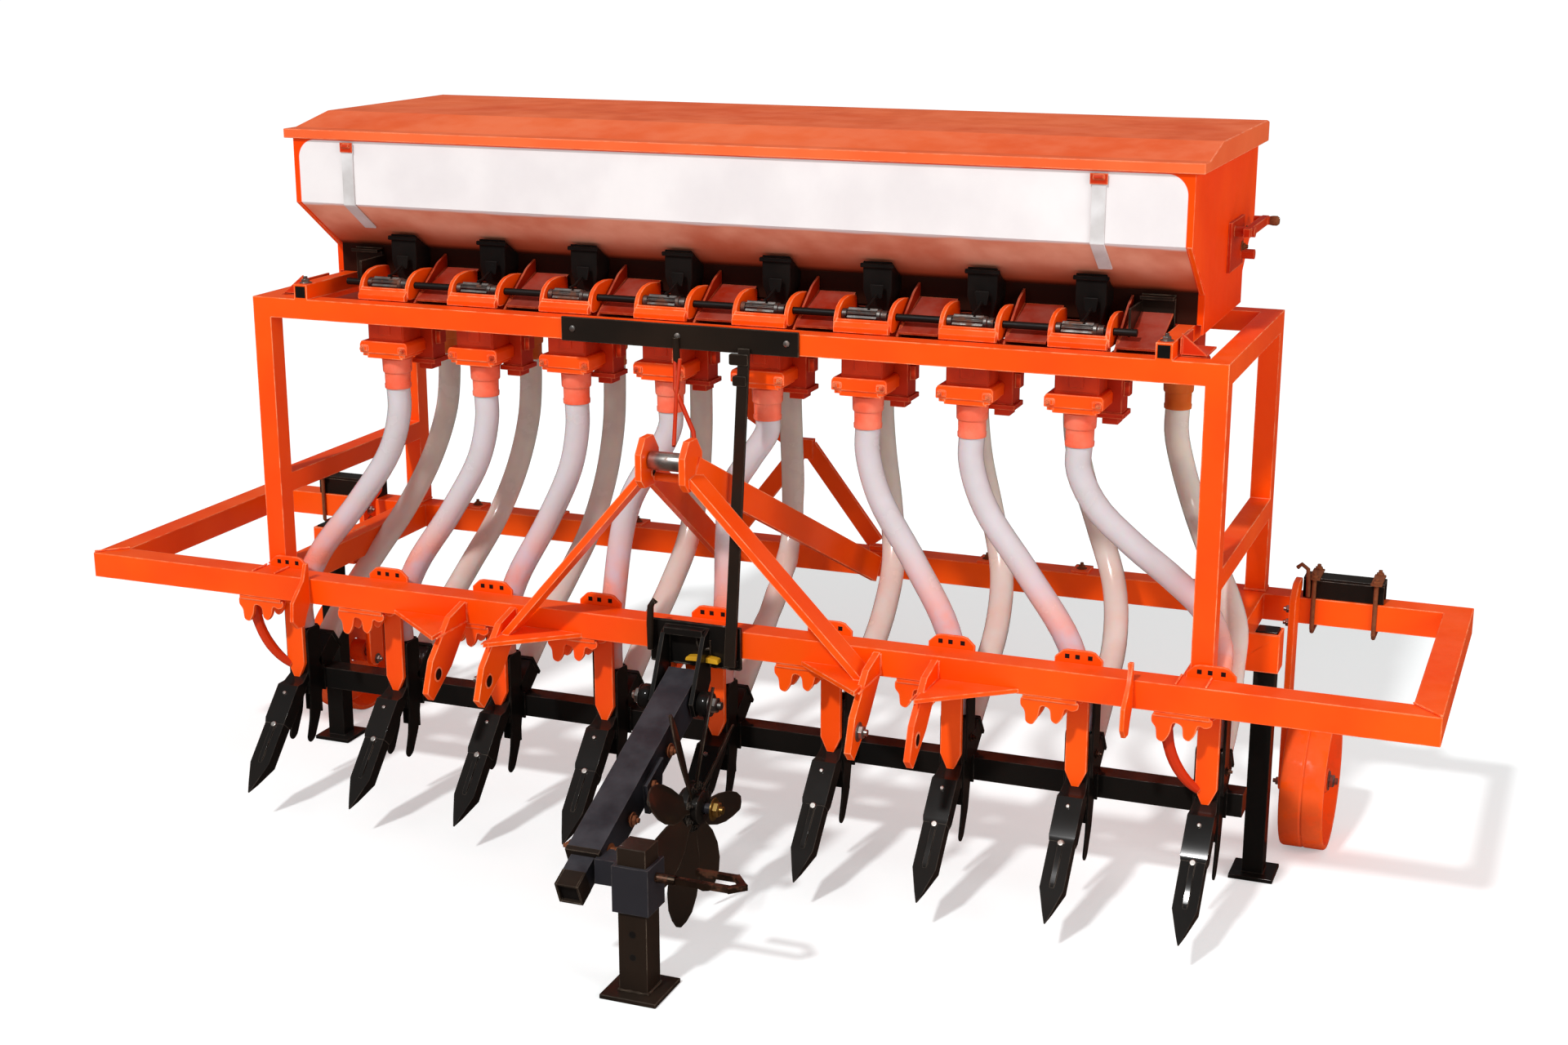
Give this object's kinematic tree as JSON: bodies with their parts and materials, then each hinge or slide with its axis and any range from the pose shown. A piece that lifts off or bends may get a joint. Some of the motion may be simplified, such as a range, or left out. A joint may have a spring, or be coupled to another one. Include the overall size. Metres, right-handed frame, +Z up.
{
  "type": "seed drill",
  "caption": "Tractor-mounted seed drill: a toolbar with tynes and boots, a rack with a long lidded hopper and metering units, hanging seed tubes, gauge wheels and a ground-driven star wheel.",
  "frame": {"origin": "bottom centre of the bounding box, on the ground", "axes": "+X along the width towards the end with the rate lever, +Y from the hitch to the rear, +Z up"},
  "size_m": [2.6, 1.244, 1.33],
  "materials": {
    "orange_paint": "semi-gloss",
    "black_paint": "semi-gloss",
    "zinc_plate": "satin",
    "orange_plastic": "gloss",
    "black_plastic": "matte",
    "milky_tube": "translucent satin"
  },
  "bodies": {
    "drill_frame": {"main_frame": "orange_paint", "rack_frame": "orange_paint", "hitch_mast": "orange_paint", "hitch_plate_left": "orange_paint", "hitch_plate_right": "orange_paint", "rear_brace": "orange_paint", "hopper": "orange_paint", "rate_lever": "orange_paint", "wheel_bracket_left": "orange_paint", "wheel_bracket_right": "orange_paint", "tyne_1": "orange_paint", "tyne_2": "orange_paint", "tyne_3": "orange_paint", "tyne_4": "orange_paint", "tyne_5": "orange_paint", "tyne_6": "orange_paint", "tyne_7": "orange_paint", "tyne_8": "orange_paint", "tyne_9": "orange_paint", "rack_bar": "black_paint", "boot_rail": "black_paint", "drive_bracket": "black_paint", "tie_strap": "black_paint", "top_link_pin": "zinc_plate", "latch_strap_left": "zinc_plate", "latch_strap_right": "zinc_plate", "front_meter_bank": "orange_plastic", "rear_meter_bank": "orange_plastic", "feed_chutes": "black_plastic", "front_tube_1": "milky_tube", "front_tube_2": "milky_tube", "front_tube_3": "milky_tube", "front_tube_4": "milky_tube", "front_tube_5": "milky_tube", "front_tube_6": "milky_tube", "front_tube_7": "milky_tube", "front_tube_8": "milky_tube", "rear_tube_1": "milky_tube", "rear_tube_2": "milky_tube", "rear_tube_3": "milky_tube", "rear_tube_4": "milky_tube", "rear_tube_5": "milky_tube", "rear_tube_6": "milky_tube", "rear_tube_7": "milky_tube", "rear_tube_8": "milky_tube", "rear_tube_9": "milky_tube"},
    "hopper_lid": {"hopper_lid": "orange_paint"},
    "gauge_wheel_left": {"gauge_wheel_left": "orange_paint"},
    "gauge_wheel_right": {"gauge_wheel_right": "orange_paint"},
    "rear_stand_left": {"rear_stand_left": "black_paint"},
    "rear_stand_right": {"rear_stand_right": "black_paint"},
    "drive_arm": {"drive_arm": "black_paint", "stand_lock_pin": "zinc_plate"},
    "drive_wheel": {"drive_wheel": "black_paint"},
    "front_stand_leg": {"front_stand_leg": "black_paint"},
    "metering_shaft": {"metering_shaft": "zinc_plate"}
  },
  "joints": [
    {"name": "hopper_lid_hinge", "type": "hinge", "parent": "drill_frame", "child": "hopper_lid", "pos_m": [0, 0.624, 1.297], "axis": [-1, 0, 0], "range_deg": [0, 100]},
    {"name": "gauge_wheel_left_spin", "type": "hinge", "parent": "drill_frame", "child": "gauge_wheel_left", "pos_m": [-1.04, 0.428, 0.13], "axis": [1, 0, 0], "continuous": true},
    {"name": "gauge_wheel_right_spin", "type": "hinge", "parent": "drill_frame", "child": "gauge_wheel_right", "pos_m": [1.04, 0.428, 0.13], "axis": [1, 0, 0], "continuous": true},
    {"name": "rear_stand_left_slide", "type": "slide", "parent": "drill_frame", "child": "rear_stand_left", "axis": [0, 0, 1], "range_m": [0, 0.25]},
    {"name": "rear_stand_right_slide", "type": "slide", "parent": "drill_frame", "child": "rear_stand_right", "axis": [0, 0, 1], "range_m": [0, 0.25]},
    {"name": "drive_arm_pivot", "type": "hinge", "parent": "drill_frame", "child": "drive_arm", "pos_m": [0, -0.152, 0.344], "axis": [1, 0, 0], "range_deg": [0, 18]},
    {"name": "drive_wheel_spin", "type": "hinge", "parent": "drive_arm", "child": "drive_wheel", "pos_m": [0.108, -0.328, 0.226], "axis": [1, 0, 0], "continuous": true},
    {"name": "front_stand_slide", "type": "slide", "parent": "drive_arm", "child": "front_stand_leg", "axis": [0, 0, 1], "range_m": [0, 0.125]},
    {"name": "metering_shaft_spin", "type": "hinge", "parent": "drill_frame", "child": "metering_shaft", "pos_m": [0, 0.04, 1.023], "axis": [1, 0, 0], "continuous": true}
  ],
  "couplings": [
    {"joint": "metering_shaft_spin", "follows": "drive_wheel_spin", "ratio": 1}
  ]
}
